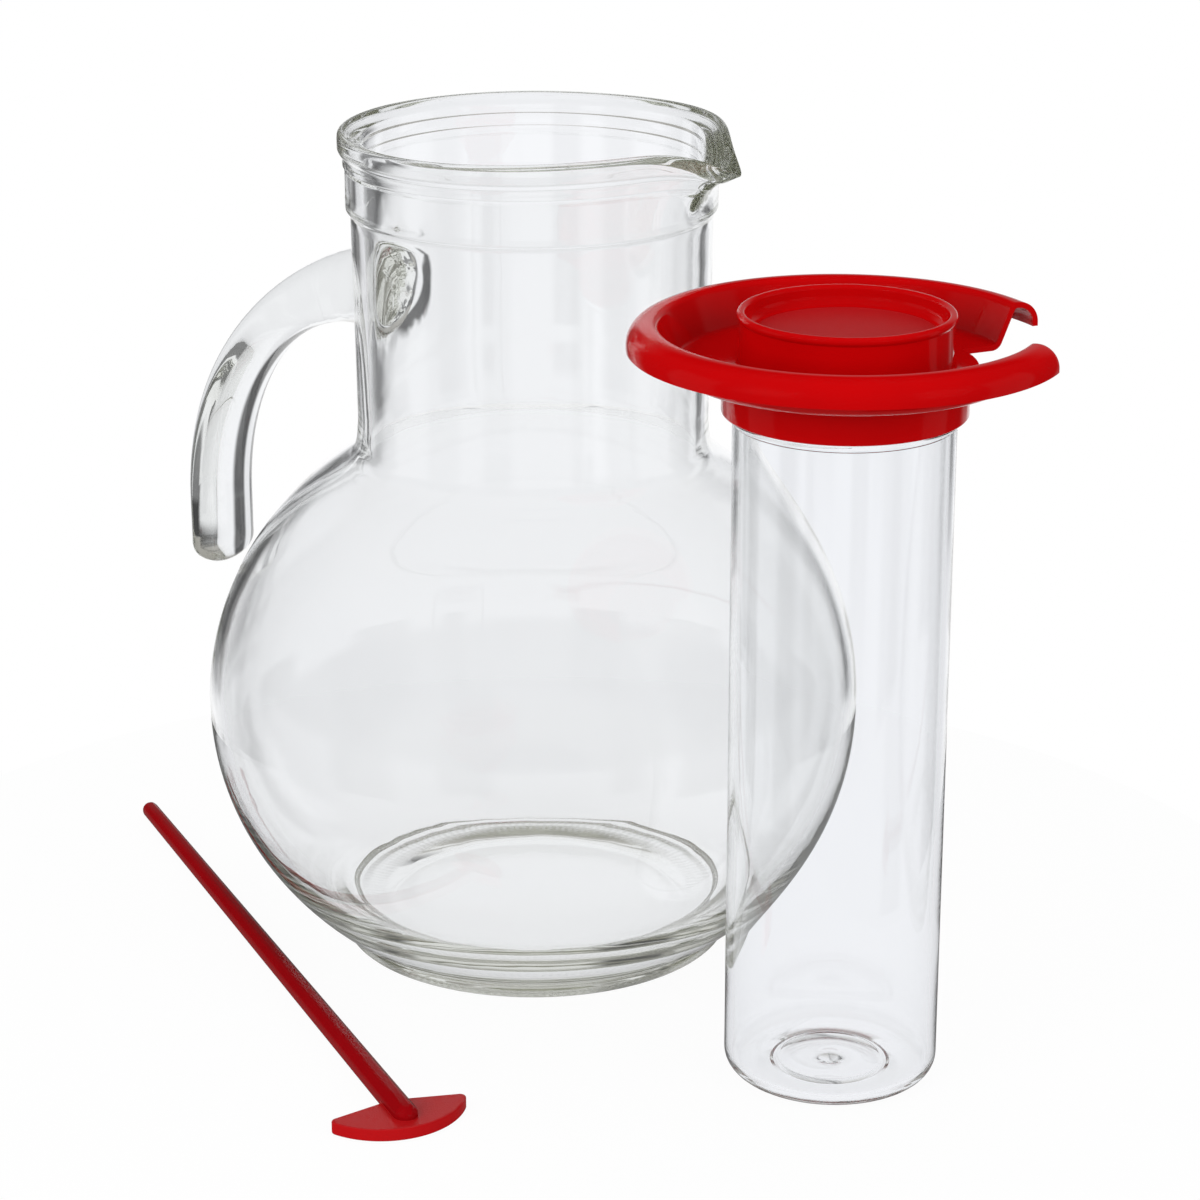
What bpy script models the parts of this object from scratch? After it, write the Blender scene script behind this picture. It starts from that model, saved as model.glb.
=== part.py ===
"""Glass juice jug with a screw-on ice insert and a stirrer, set out as it is sold: jug, insert and stirrer apart.

The jug is one piece of clear glass with a pulled spout and an open hook handle. The insert is a red lid that
screws onto a clear tube for ice, so that the lid closes the jug while the tube hangs in the juice. The stirrer
is one red moulding and lies on the table. Units are metres, +Z is up, the table is z = 0, and the origin is the
middle of the floor that the set covers. +X runs to the right of the front view and +Y away from it.
"""

import math

import bmesh
import bpy
from mathutils import Matrix, Vector

# Fit between pieces that touch
FIT_GAP = 0.0003

# Glass jug, outside
JUG_HEIGHT = 0.2220
BELLY_RADIUS = 0.0880
BELLY_MIDDLE = 0.0670
SHOULDER_HEIGHT = 0.1360
SHOULDER_BLEND = 0.0048
NECK_RADIUS = 0.0463
NECK_FLARE = 0.0010
BAND_HEIGHT = 0.0205
BAND_STEP = 0.0012
LIP_HEIGHT = 0.0050
LIP_STEP = 0.0018
LIP_ROUND = 0.0020
LIP_RADIUS = NECK_RADIUS + NECK_FLARE + BAND_STEP + LIP_STEP
FOOT_RADIUS = 0.0529
FOOT_HEIGHT = 0.0044
FOOT_OVERHANG = 0.0019
FOOT_EDGE = 0.0011
FOOT_RING = 0.0065
PUNT_DEPTH = 0.0022

# Glass jug, inside
GLASS_WALL = 0.0034
BASE_THICKNESS = 0.0075
BASE_BLEND = 0.0060
MOUTH_WALL = 0.0043
MOUTH_DEPTH = 0.0100
MOUTH_CHAMFER = 0.0012

# Spout
SPOUT_BEARING = math.radians(-30.0)
SPOUT_HALF_ANGLE = math.radians(33.0)
SPOUT_REACH = 0.0118
SPOUT_DROP = 0.0062
SPOUT_HEIGHT = 0.0200
SPOUT_HUMP = 0.0026
SPOUT_SHARPNESS = 1.45

# Hook handle, opposite the spout; the pulls and the swell are shares of its curved run
HANDLE_ROOT_HEIGHT = 0.1752
HANDLE_STANDOFF = 0.0150
HANDLE_BEND_HEIGHT = 0.1080
HANDLE_END_HEIGHT = 0.0880
HANDLE_WIDTH = 0.0180
HANDLE_DEPTH = 0.0155
HANDLE_ROOT_DEPTH = 0.0250
HANDLE_ROOT_BITE = 0.0027
HANDLE_PULL_OUT = 0.55
HANDLE_PULL_UP = 0.60
HANDLE_SWELL_RUN = 0.62

# Ice tube
TUBE_RADIUS = 0.0268
TUBE_LENGTH = 0.1827
TUBE_WALL = 0.0016
TUBE_FLOOR = 0.0022
TUBE_CORNER = 0.0050
TUBE_FOOT_RING = 0.0070
TUBE_FOOT_RECESS = 0.0008
GATE_NUB_RADIUS = 0.0055
GATE_NUB_HEIGHT = 0.0012

# Lid, sized to seat over the jug's lip
LID_WALL = 0.0014
LID_FIT = 0.0007
LID_RADIUS = LIP_RADIUS + LID_FIT + LID_WALL
LID_RIM_WIDTH = 0.0081
LID_RIM_RISE = 0.0100
LID_SKIRT = 0.0064
LID_OUTER_ROUND = 0.0055
LID_INNER_ROUND = 0.0022
DISH_SLOPE = math.radians(20.0)
DISH_CORNER = 0.0015
CUP_INSET = 0.0016
CUP_HEIGHT = 0.0130
CUP_RECESS = 0.0048
CUP_BEAD = 0.0022
CUP_OVERHANG = 0.0004
COLLAR_WALL = 0.0025
COLLAR_DEPTH = 0.0104
COLLAR_EDGE = 0.0004
NOTCH_BEARING = 0.0
NOTCH_ANGLE = math.radians(48.0)
NOTCH_LEDGE = 0.0019
NOTCH_OVERCUT = 0.0060

# Stirrer
ROD_LENGTH = 0.2198
ROD_RADIUS = 0.0034
ROD_TIP_RADIUS = 0.0025
ROD_SIDES = 8
ROD_SETBACK = 0.0030
ROD_LIFT = 0.0004
PADDLE_WIDTH = 0.0368
PADDLE_DEPTH = 0.0157
PADDLE_SWEEP = 0.0042
PADDLE_THICKNESS = 0.0033
PADDLE_TIP_ROUND = 0.0018

# How the pieces stand on the table, seen from the jug's axis
INSERT_BEARING = math.radians(-49.8)
INSERT_CLEARANCE = 0.0031
STIRRER_BEARING = math.radians(113.7)
STIRRER_CLEARANCE = 0.0248
STIRRER_SETBACK = 0.0929

# Smoothness of the turned solids
JUG_STEPS = 54
LID_STEPS = 40
TUBE_STEPS = 40

GLASS_TINT = (0.90, 0.94, 0.92)
TUBE_TINT = (0.95, 0.96, 0.97)
LID_RED = (0.56, 0.002, 0.004)
STIRRER_RED = (0.45, 0.006, 0.012)


def clear_scene():
    """Start from an empty file."""
    for obj in list(bpy.data.objects):
        bpy.data.objects.remove(obj, do_unlink=True)


def new_collection(name):
    """A collection linked to the scene."""
    collection = bpy.data.collections.new(name)
    bpy.context.scene.collection.children.link(collection)
    return collection


def finish(name, colour, roughness, transmission=0.0):
    """A Principled material of one colour."""
    material = bpy.data.materials.new(name)
    material.use_nodes = True
    shader = material.node_tree.nodes["Principled BSDF"]
    shader.inputs["Base Color"].default_value = (*colour, 1.0)
    shader.inputs["Roughness"].default_value = roughness
    shader.inputs["Metallic"].default_value = 0.0
    shader.inputs["Transmission Weight"].default_value = transmission
    material.diffuse_color = (*colour, 1.0)
    return material


def arc(middle, radius, start, end, count):
    """Points of a circular arc in a plane, angles in degrees from the first axis."""
    turns = [math.radians(start + (end - start) * i / count) for i in range(count + 1)]
    return [(middle[0] + radius * math.cos(turn), middle[1] + radius * math.sin(turn)) for turn in turns]


def blend_over(first, second, width):
    """The larger of two values, with the corner between them rounded."""
    return (first + second + math.hypot(first - second, width)) / 2


def turned(name, profile, steps, collection):
    """A solid of revolution from (radius, height) points that run over the top and down the outer side."""
    mesh = bpy.data.meshes.new(name)
    vertices = [(radius, 0.0, height) for radius, height in profile]
    edges = [(i, i + 1) for i in range(len(profile) - 1)]
    mesh.from_pydata(vertices, edges, [])
    obj = bpy.data.objects.new(name, mesh)
    collection.objects.link(obj)
    screw = obj.modifiers.new("turn", "SCREW")
    screw.axis = "Z"
    screw.steps = steps
    screw.render_steps = steps
    screw.use_merge_vertices = True
    screw.merge_threshold = 0.00001
    screw.use_smooth_shade = True
    return obj


def baked(obj, collection):
    """Swap an object for a plain mesh of what its curve or modifiers show, with loose caps welded on."""
    bpy.context.view_layer.update()
    name = obj.name
    depsgraph = bpy.context.evaluated_depsgraph_get()
    mesh = bpy.data.meshes.new_from_object(obj.evaluated_get(depsgraph))
    place = obj.matrix_world.copy()
    bpy.data.objects.remove(obj, do_unlink=True)
    shape = bmesh.new()
    shape.from_mesh(mesh)
    bmesh.ops.remove_doubles(shape, verts=shape.verts, dist=0.00001)
    bmesh.ops.recalc_face_normals(shape, faces=shape.faces)
    shape.to_mesh(mesh)
    shape.free()
    solid = bpy.data.objects.new(name, mesh)
    collection.objects.link(solid)
    solid.matrix_world = place
    return solid


def flat_outline(name, outline, thickness, collection):
    """A flat plate from a closed outline, standing from z = 0 up to its thickness."""
    curve = bpy.data.curves.new(name, "CURVE")
    curve.dimensions = "2D"
    curve.fill_mode = "BOTH"
    curve.extrude = thickness / 2
    spline = curve.splines.new("POLY")
    spline.points.add(len(outline) - 1)
    spline.use_cyclic_u = True
    for point, (x, y) in zip(spline.points, outline):
        point.co = (x, y, 0.0, 1.0)
    obj = bpy.data.objects.new(name, curve)
    collection.objects.link(obj)
    obj.location.z = thickness / 2
    plate = baked(obj, collection)
    plate.data.transform(plate.matrix_world)
    plate.matrix_world = Matrix.Identity(4)
    return plate


def tool_shape(obj):
    """Mark a shape that only cuts or joins another, so that it is no piece of its own."""
    obj.hide_render = True
    obj.display_type = "WIRE"


def join_or_cut(target, tool, operation):
    """A Boolean of the target with a tool shape."""
    tool_shape(tool)
    boolean = target.modifiers.new(tool.name, "BOOLEAN")
    boolean.operation = operation
    boolean.solver = "EXACT"
    boolean.object = tool


def give_finish(obj, material):
    """Give a piece its material, with smooth shading on its round faces."""
    obj.data.materials.clear()
    obj.data.materials.append(material)
    obj.data.shade_smooth()
    obj.data.set_sharp_from_angle(angle=math.radians(35.0))


def place_under(parent, name, x, y):
    """An empty under a parent, at a point of the table."""
    empty = bpy.data.objects.new(name, None)
    bpy.context.scene.collection.objects.link(empty)
    empty.parent = parent
    empty.location = (x, y, 0.0)
    return empty


def half_oval(radius, height, middle, start, end, count):
    """Points (radius, height) of an oval about the axis, angles in radians up from its widest level."""
    turns = [start + (end - start) * i / count for i in range(count + 1)]
    return [(radius * math.cos(turn), middle + height * math.sin(turn)) for turn in turns]


def shoulder(radius, height, neck, start, end, count):
    """The top of the belly from one angle to another, run into the neck with a rounded inner corner."""
    points = half_oval(radius, height, BELLY_MIDDLE, start, end, count)
    return [(blend_over(across, neck, SHOULDER_BLEND), level) for across, level in points]


def jug_profile():
    """The jug's outline from the middle of the inner floor over the lip to the middle of the foot."""
    neck_top = NECK_RADIUS + NECK_FLARE
    band = neck_top + BAND_STEP
    band_foot = JUG_HEIGHT - BAND_HEIGHT
    lip_foot = JUG_HEIGHT - LIP_HEIGHT
    lip_middle = JUG_HEIGHT - LIP_ROUND
    mouth = LIP_RADIUS - MOUTH_WALL
    ledge = JUG_HEIGHT - MOUTH_DEPTH
    inner_neck = NECK_RADIUS - GLASS_WALL
    inner_belly = BELLY_RADIUS - GLASS_WALL
    inner_foot = FOOT_RADIUS - FOOT_RING

    belly_foot = FOOT_RADIUS + FOOT_OVERHANG
    rise = (SHOULDER_HEIGHT - BELLY_MIDDLE) / math.sqrt(1 - (NECK_RADIUS / BELLY_RADIUS) ** 2)
    drop = (BELLY_MIDDLE - FOOT_HEIGHT) / math.sqrt(1 - (belly_foot / BELLY_RADIUS) ** 2)
    neck_turn = math.acos(NECK_RADIUS / BELLY_RADIUS) + 2 * SHOULDER_BLEND / NECK_RADIUS
    foot_turn = math.acos(belly_foot / BELLY_RADIUS)

    floor = half_oval(inner_belly, drop - GLASS_WALL, BELLY_MIDDLE, -math.pi / 2, 0, 9)
    points = [(radius, blend_over(height, BASE_THICKNESS, BASE_BLEND)) for radius, height in floor]
    points += shoulder(inner_belly, rise - GLASS_WALL, inner_neck, 0, neck_turn, 10)[1:]
    points += [(inner_neck + NECK_FLARE, ledge - MOUTH_CHAMFER), (mouth, ledge)]
    points += arc((mouth + LIP_ROUND, lip_middle), LIP_ROUND, 180, 90, 3)
    points += arc((LIP_RADIUS - LIP_ROUND, lip_middle), LIP_ROUND, 90, 0, 3)
    points += [(LIP_RADIUS, lip_foot + LIP_STEP), (band, lip_foot)]
    points += [(band, band_foot + BAND_STEP), (neck_top, band_foot)]
    points += shoulder(BELLY_RADIUS, rise, NECK_RADIUS, neck_turn, 0, 12)[:-1]
    points += half_oval(BELLY_RADIUS, drop, BELLY_MIDDLE, 0, -foot_turn, 7)
    points += [(FOOT_RADIUS, FOOT_HEIGHT - FOOT_EDGE), (FOOT_RADIUS, FOOT_EDGE), (FOOT_RADIUS - FOOT_EDGE, 0.0)]
    points += [(inner_foot, 0.0), (inner_foot - PUNT_DEPTH, PUNT_DEPTH / 2), (0.0, PUNT_DEPTH)]
    return points


def pull_spout(jug):
    """Pull the rim out and down into the spout, with a low hump where it starts on each side."""
    foot = JUG_HEIGHT - SPOUT_HEIGHT
    ahead = Vector((math.cos(SPOUT_BEARING), math.sin(SPOUT_BEARING), 0.0))
    for vertex in jug.data.vertices:
        level = max(0.0, (vertex.co.z - foot) / SPOUT_HEIGHT)
        flat = Vector((vertex.co.x, vertex.co.y, 0.0))
        away = ahead.angle(flat, math.pi) / SPOUT_HALF_ANGLE
        if level == 0.0 or away >= 1.0:
            continue
        pull = level ** 2 * (1.0 - away) ** SPOUT_SHARPNESS
        hump = level ** 2 * math.sin(math.pi * away) ** 2 * SPOUT_HUMP
        vertex.co += ahead * SPOUT_REACH * pull + Vector((0.0, 0.0, hump - SPOUT_DROP * pull))


def handle_route():
    """The handle's centre line in its own plane, as (distance from the axis, height, depth) points."""
    reach = BELLY_RADIUS + HANDLE_STANDOFF
    root = Vector((NECK_RADIUS - HANDLE_ROOT_BITE, HANDLE_ROOT_HEIGHT))
    bend = Vector((reach, HANDLE_BEND_HEIGHT))
    out = root + Vector((HANDLE_PULL_OUT * (bend.x - root.x), 0.0))
    up = bend + Vector((0.0, HANDLE_PULL_UP * (root.y - bend.y)))
    route = []
    count = 12
    for i in range(count + 1):
        t = i / count
        point = (1 - t) ** 3 * root + 3 * t * (1 - t) ** 2 * out + 3 * t * t * (1 - t) * up + t ** 3 * bend
        swell = (HANDLE_ROOT_DEPTH - HANDLE_DEPTH) * max(0.0, 1 - t / HANDLE_SWELL_RUN) ** 2
        route.append((point.x, point.y, HANDLE_DEPTH + swell))
    tip = arc((0.0, HANDLE_END_HEIGHT + HANDLE_DEPTH / 2), HANDLE_DEPTH / 2, 0, -75, 4)
    route += [(reach, height, 2 * half) for half, height in tip]
    return route


def build_jug(pieces, tools, axis):
    """The glass jug: a turned body, a pulled spout and the hook handle fused to the neck."""
    jug = baked(turned("glass_jug", jug_profile(), JUG_STEPS, pieces), pieces)
    pull_spout(jug)

    route = handle_route()
    curve = bpy.data.curves.new("hook_handle", "CURVE")
    curve.dimensions = "3D"
    curve.bevel_depth = HANDLE_DEPTH / 2
    curve.bevel_resolution = 5
    curve.use_fill_caps = True
    spline = curve.splines.new("POLY")
    spline.points.add(len(route) - 1)
    for point, (across, height, depth) in zip(spline.points, route):
        point.co = (across, 0.0, height, 1.0)
        point.radius = depth / HANDLE_DEPTH
    handle = bpy.data.objects.new("hook_handle", curve)
    tools.objects.link(handle)
    handle = baked(handle, tools)
    handle.data.transform(Matrix.Scale(HANDLE_WIDTH / HANDLE_DEPTH, 4, (0.0, 1.0, 0.0)))
    handle.data.transform(Matrix.Rotation(SPOUT_BEARING + math.pi, 4, "Z"))
    handle.parent = axis
    jug.parent = axis
    join_or_cut(jug, handle, "UNION")
    give_finish(jug, finish("clear_glass", GLASS_TINT, 0.02, 1.0))
    return jug


def build_tube(pieces, axis):
    """The clear ice tube: straight, round at the lower edge, with its moulding nub in the middle of the floor."""
    bore = TUBE_RADIUS - TUBE_WALL
    inner_corner = max(TUBE_CORNER - TUBE_WALL, TUBE_WALL)
    ring = TUBE_RADIUS - TUBE_CORNER
    inner_ring = ring - TUBE_FOOT_RING
    dome = [(share * GATE_NUB_RADIUS, (1 - share ** 2) * GATE_NUB_HEIGHT) for share in (0.0, 0.5, 1.0)]
    profile = [(across, TUBE_FLOOR + rise) for across, rise in dome]
    profile += arc((bore - inner_corner, TUBE_FLOOR + inner_corner), inner_corner, -90, 0, 4)
    profile += [(bore, TUBE_LENGTH), (TUBE_RADIUS, TUBE_LENGTH)]
    profile += arc((ring, TUBE_CORNER), TUBE_CORNER, 0, -90, 5)
    profile += [(inner_ring, 0.0), (inner_ring - TUBE_FOOT_RECESS, TUBE_FOOT_RECESS), (0.0, TUBE_FOOT_RECESS)]
    tube = turned("ice_tube", profile, TUBE_STEPS, pieces)
    tube.parent = axis
    give_finish(tube, finish("clear_plastic", TUBE_TINT, 0.03, 1.0))
    return tube


def inset(points, distance):
    """A path moved sideways to its right by one distance, kept parallel at its corners."""
    moved = []
    for i, point in enumerate(points):
        before = Vector(points[max(i - 1, 0)])
        here = Vector(point)
        after = Vector(points[min(i + 1, len(points) - 1)])
        come = (here - before).normalized() if i else (after - here).normalized()
        go = (after - here).normalized() if i < len(points) - 1 else come
        side = Vector((come.y + go.y, -come.x - go.x)).normalized()
        reach = distance / side.dot(Vector((come.y, -come.x)))
        moved.append(tuple(here + side * reach))
    return moved


def lid_profile(bore):
    """The lid's outline from the middle of the cup's top over the rim and back under to the middle."""
    floor = LID_WALL
    rim_top = floor + LID_RIM_RISE
    cup = TUBE_RADIUS - CUP_INSET
    cup_bore = cup - LID_WALL
    bead = CUP_BEAD / 2
    bead_middle = (cup + CUP_OVERHANG - bead, floor + CUP_HEIGHT - bead)
    recess = bead_middle[0] - bead
    recess_floor = floor + CUP_HEIGHT - CUP_RECESS
    recess_under = recess_floor - LID_WALL
    collar = bore + COLLAR_WALL
    collar_end = -COLLAR_DEPTH

    lean = math.degrees(DISH_SLOPE)
    crest = (LID_RADIUS - LID_RIM_WIDTH + LID_INNER_ROUND, rim_top - LID_INNER_ROUND)
    rim = arc(crest, LID_INNER_ROUND, 180 - lean, 90, 3)
    wall_foot = rim[0][0] - (rim[0][1] - floor) * math.tan(DISH_SLOPE)
    rim += arc((LID_RADIUS - LID_OUTER_ROUND, rim_top - LID_OUTER_ROUND), LID_OUTER_ROUND, 90, 0, 5)
    rim = [(wall_foot - DISH_CORNER, floor), (wall_foot, floor + DISH_CORNER / 4)] + rim
    rim += [(LID_RADIUS, rim_top - LID_SKIRT)]

    points = [(0.0, recess_floor), (recess - DISH_CORNER, recess_floor), (recess, recess_floor + DISH_CORNER)]
    points += arc(bead_middle, bead, 180, 0, 5)
    points += [(cup, floor + CUP_HEIGHT - CUP_BEAD), (cup, floor + DISH_CORNER), (cup + DISH_CORNER, floor)]
    points += rim + inset(rim, LID_WALL)[::-1]
    points += [(collar, 0.0), (collar, collar_end + COLLAR_EDGE), (collar - COLLAR_EDGE, collar_end)]
    points += [(bore + COLLAR_EDGE, collar_end), (bore, collar_end + COLLAR_EDGE), (bore, 0.0)]
    points += [(cup_bore, 0.0), (cup_bore, recess_under), (0.0, recess_under)]
    return points


def build_lid(pieces, tools, axis):
    """The red lid on top of the tube: rim, dish, grip cup, screw collar, and the pouring notch at one side."""
    bore = TUBE_RADIUS + FIT_GAP
    lid = baked(turned("lid", lid_profile(bore), LID_STEPS, pieces), pieces)
    half = math.degrees(NOTCH_ANGLE) / 2
    near = bore + COLLAR_WALL + NOTCH_LEDGE
    far = LID_RADIUS + NOTCH_OVERCUT
    outline = arc((0.0, 0.0), near, -half, half, 8) + arc((0.0, 0.0), far, half, -half, 8)
    height = LID_WALL + LID_RIM_RISE + 2 * NOTCH_OVERCUT
    notch = flat_outline("pouring_notch", outline, height, tools)
    notch.data.transform(Matrix.Translation((0.0, 0.0, -NOTCH_OVERCUT)))
    notch.data.transform(Matrix.Rotation(NOTCH_BEARING, 4, "Z"))
    for obj in (lid, notch):
        obj.parent = axis
        obj.location.z = TUBE_LENGTH + FIT_GAP
    join_or_cut(lid, notch, "DIFFERENCE")
    give_finish(lid, finish("red_gloss_plastic", LID_RED, 0.18))
    return lid


def paddle_outline():
    """The paddle's half-moon outline: a swept far edge, rounded tips and a round near edge."""
    half = PADDLE_WIDTH / 2
    bulge = PADDLE_DEPTH - PADDLE_SWEEP
    radius = (half * half + bulge * bulge) / (2 * bulge)
    span = math.degrees(math.atan2(half, radius - bulge) - PADDLE_TIP_ROUND / radius)
    near = arc((radius - PADDLE_DEPTH, 0.0), radius, 180 - span, 180 + span, 14)
    inset_far = half - PADDLE_TIP_ROUND
    far = -PADDLE_SWEEP * inset_far / half
    tip = half - PADDLE_TIP_ROUND / 3
    low_tip = (far - PADDLE_TIP_ROUND / 3, -tip)
    high_tip = (low_tip[0], tip)
    return near + [low_tip, (far, -inset_far), (0.0, 0.0), (far, inset_far), high_tip]


def build_stirrer(pieces, tools, place):
    """The stirrer: a tapered eight-sided rod lying half sunk in the half-moon paddle."""
    stirrer = flat_outline("stirrer", paddle_outline(), PADDLE_THICKNESS, pieces)
    length = ROD_LENGTH
    ends = arc((0.0, length - ROD_TIP_RADIUS), ROD_TIP_RADIUS, 90, 0, 3)
    ends += arc((0.0, ROD_RADIUS), ROD_RADIUS, 0, -90, 3)
    ends[0] = (0.0, length)
    ends[-1] = (0.0, 0.0)
    rod = baked(turned("stirrer_rod", ends, ROD_SIDES, tools), tools)
    flat = math.cos(math.pi / ROD_SIDES)
    rise = ROD_RADIUS * flat + ROD_LIFT
    lean = math.asin((rise - ROD_TIP_RADIUS * flat) / length)
    rod.data.transform(Matrix.Rotation(math.pi / ROD_SIDES, 4, "Z"))
    rod.data.transform(Matrix.Rotation(math.pi / 2 + lean, 4, "Y"))
    rod.data.transform(Matrix.Translation((ROD_SETBACK - PADDLE_DEPTH, 0.0, rise)))
    for obj in (stirrer, rod):
        obj.parent = place
    join_or_cut(stirrer, rod, "UNION")
    give_finish(stirrer, finish("red_satin_plastic", STIRRER_RED, 0.3))
    return stirrer


def centre_on_floor(root, pieces):
    """Move the set so that the middle of the floor it covers is the origin."""
    bpy.context.view_layer.update()
    depsgraph = bpy.context.evaluated_depsgraph_get()
    points = []
    for piece in pieces:
        shown = piece.evaluated_get(depsgraph)
        points += [shown.matrix_world @ vertex.co for vertex in shown.data.vertices]
    for axis in (0, 1):
        values = [point[axis] for point in points]
        root.location[axis] = -(min(values) + max(values)) / 2
    bpy.context.view_layer.update()


def build_set():
    """Build every piece and stand them on the table."""
    clear_scene()
    pieces = new_collection("juice_carafe")
    tools = new_collection("tool_shapes")
    root = bpy.data.objects.new("table_place", None)
    bpy.context.scene.collection.objects.link(root)
    jug_axis = place_under(root, "jug_axis", 0.0, 0.0)
    apart = max(BELLY_RADIUS + TUBE_RADIUS, LIP_RADIUS + SPOUT_REACH + LID_RADIUS) + INSERT_CLEARANCE
    insert_x = apart * math.cos(INSERT_BEARING)
    insert_y = apart * math.sin(INSERT_BEARING)
    insert_axis = place_under(root, "insert_axis", insert_x, insert_y)
    stirrer_aside = FOOT_RADIUS + STIRRER_CLEARANCE
    along = Vector((math.cos(STIRRER_BEARING), math.sin(STIRRER_BEARING)))
    stirrer_x, stirrer_y = along.orthogonal() * stirrer_aside - along * STIRRER_SETBACK
    stirrer_place = place_under(root, "stirrer_place", stirrer_x, stirrer_y)
    stirrer_place.rotation_euler.z = STIRRER_BEARING
    built = [build_jug(pieces, tools, jug_axis), build_tube(pieces, insert_axis)]
    built += [build_lid(pieces, tools, insert_axis), build_stirrer(pieces, tools, stirrer_place)]
    centre_on_floor(root, built)


build_set()
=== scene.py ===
import math

import bpy
from mathutils import Matrix, Vector


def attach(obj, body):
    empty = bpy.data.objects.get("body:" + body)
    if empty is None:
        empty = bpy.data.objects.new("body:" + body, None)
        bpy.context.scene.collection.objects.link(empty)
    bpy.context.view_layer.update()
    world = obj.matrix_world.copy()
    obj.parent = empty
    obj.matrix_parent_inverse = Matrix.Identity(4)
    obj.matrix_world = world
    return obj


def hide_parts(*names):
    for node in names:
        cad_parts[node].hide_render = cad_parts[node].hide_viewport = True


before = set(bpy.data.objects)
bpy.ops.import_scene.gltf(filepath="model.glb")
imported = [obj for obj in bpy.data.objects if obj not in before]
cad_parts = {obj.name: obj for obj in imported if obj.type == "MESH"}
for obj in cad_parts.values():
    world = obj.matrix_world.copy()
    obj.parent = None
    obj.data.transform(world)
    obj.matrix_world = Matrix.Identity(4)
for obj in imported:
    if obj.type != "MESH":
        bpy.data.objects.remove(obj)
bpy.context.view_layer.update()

# The camera stands in front of the set and looks down on it through a long lens,
# as a product photographer would, so that the circles stay nearly flat ovals.
# Light runs a long way inside thick glass, so it may bounce often before it is given up.
CAMERA_PLACE = (0.01497, -0.86766, 0.40636)
CAMERA_PITCH = math.radians(90.0 - 19.274)
CAMERA_LENS = 105.3
CAMERA_SENSOR = 36.0
CAMERA_NEAREST = 0.01
LIGHT_BOUNCES = 128

bpy.ops.object.select_all(action="DESELECT")
bpy.ops.object.camera_add(location=CAMERA_PLACE, rotation=(CAMERA_PITCH, 0.0, 0.0))
camera = bpy.context.object
camera.data.lens = CAMERA_LENS
camera.data.sensor_width = CAMERA_SENSOR
camera.data.clip_start = CAMERA_NEAREST
bpy.context.scene.camera = camera
bpy.context.scene.view_settings.view_transform = "Standard"
for kind in ("max", "glossy", "transmission"):
    setattr(bpy.context.scene.cycles, kind + "_bounces", LIGHT_BOUNCES)

# The table is a round sheet of white paper under the set. It shows as plain white with a faint shadow,
# both straight and through the clear pieces, and takes the light of the lamps as paper does.
TABLE_RADIUS = 0.215
TABLE_STEPS = 96
TABLE_LEVEL = -0.0004
TABLE_GLOW = 0.96
TABLE_MIRRORED = 0.15
PAPER_WHITE = (0.88, 0.88, 0.88, 1.0)
PLAIN_WHITE = (1.0, 1.0, 1.0, 1.0)
COOL_WHITE = (0.945, 0.955, 0.985, 1.0)


class Wire:
    """One value in a node tree; arithmetic on it adds Math nodes to that tree."""

    def __init__(self, tree, socket=None):
        self.tree = tree
        self.socket = socket

    def node(self, kind, settings=None, sockets=None, output=0):
        """Add a node with its settings and the values or links of its sockets, and give one output."""
        node = self.tree.nodes.new(kind)
        for name, value in (settings or {}).items():
            setattr(node, name, value)
        for name, value in (sockets or {}).items():
            if isinstance(value, Wire):
                self.tree.links.new(value.socket, node.inputs[name])
            else:
                node.inputs[name].default_value = value
        return Wire(self.tree, node.outputs[output])

    def math(self, operation, first, second=0.0):
        """One Math node."""
        return self.node("ShaderNodeMath", {"operation": operation}, {0: first, 1: second})

    def __add__(self, other):
        return self.math("ADD", self, other)

    def __sub__(self, other):
        return self.math("SUBTRACT", self, other)

    def __rsub__(self, other):
        return self.math("SUBTRACT", other, self)

    def __mul__(self, other):
        return self.math("MULTIPLY", self, other)

    def __abs__(self):
        return self.math("ABSOLUTE", self)

    __radd__ = __add__
    __rmul__ = __mul__

    def step(self, low, high):
        """A soft step from 0 at one value to 1 at another."""
        sockets = {"Value": self, "From Min": low, "From Max": high}
        return self.node("ShaderNodeMapRange", {"interpolation_type": "SMOOTHSTEP"}, sockets)

    def outputs(self):
        """All outputs of the node that gives this value, by name."""
        return {output.name: Wire(self.tree, output) for output in self.socket.node.outputs}

    def split(self):
        """The X, Y and Z of a vector."""
        return self.node("ShaderNodeSeparateXYZ", None, {0: self}).outputs().values()

    def to(self, socket):
        """Link this value to a socket."""
        self.tree.links.new(self.socket, socket)


def seen_rays(wire):
    """1 for each kind of ray that shows the surroundings: straight, mirrored, or through a clear piece."""
    rays = wire.node("ShaderNodeLightPath").outputs()
    straight, through = rays["Is Camera Ray"], rays["Is Transmission Ray"]
    return straight, rays["Is Glossy Ray"] * (1.0 - through), through


def between(share, first, second):
    """One colour where a share is 0, another where it is 1."""
    return share.node("ShaderNodeMix", {"data_type": "RGBA"}, {"Factor": share, 6: first, 7: second}, 2)


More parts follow.
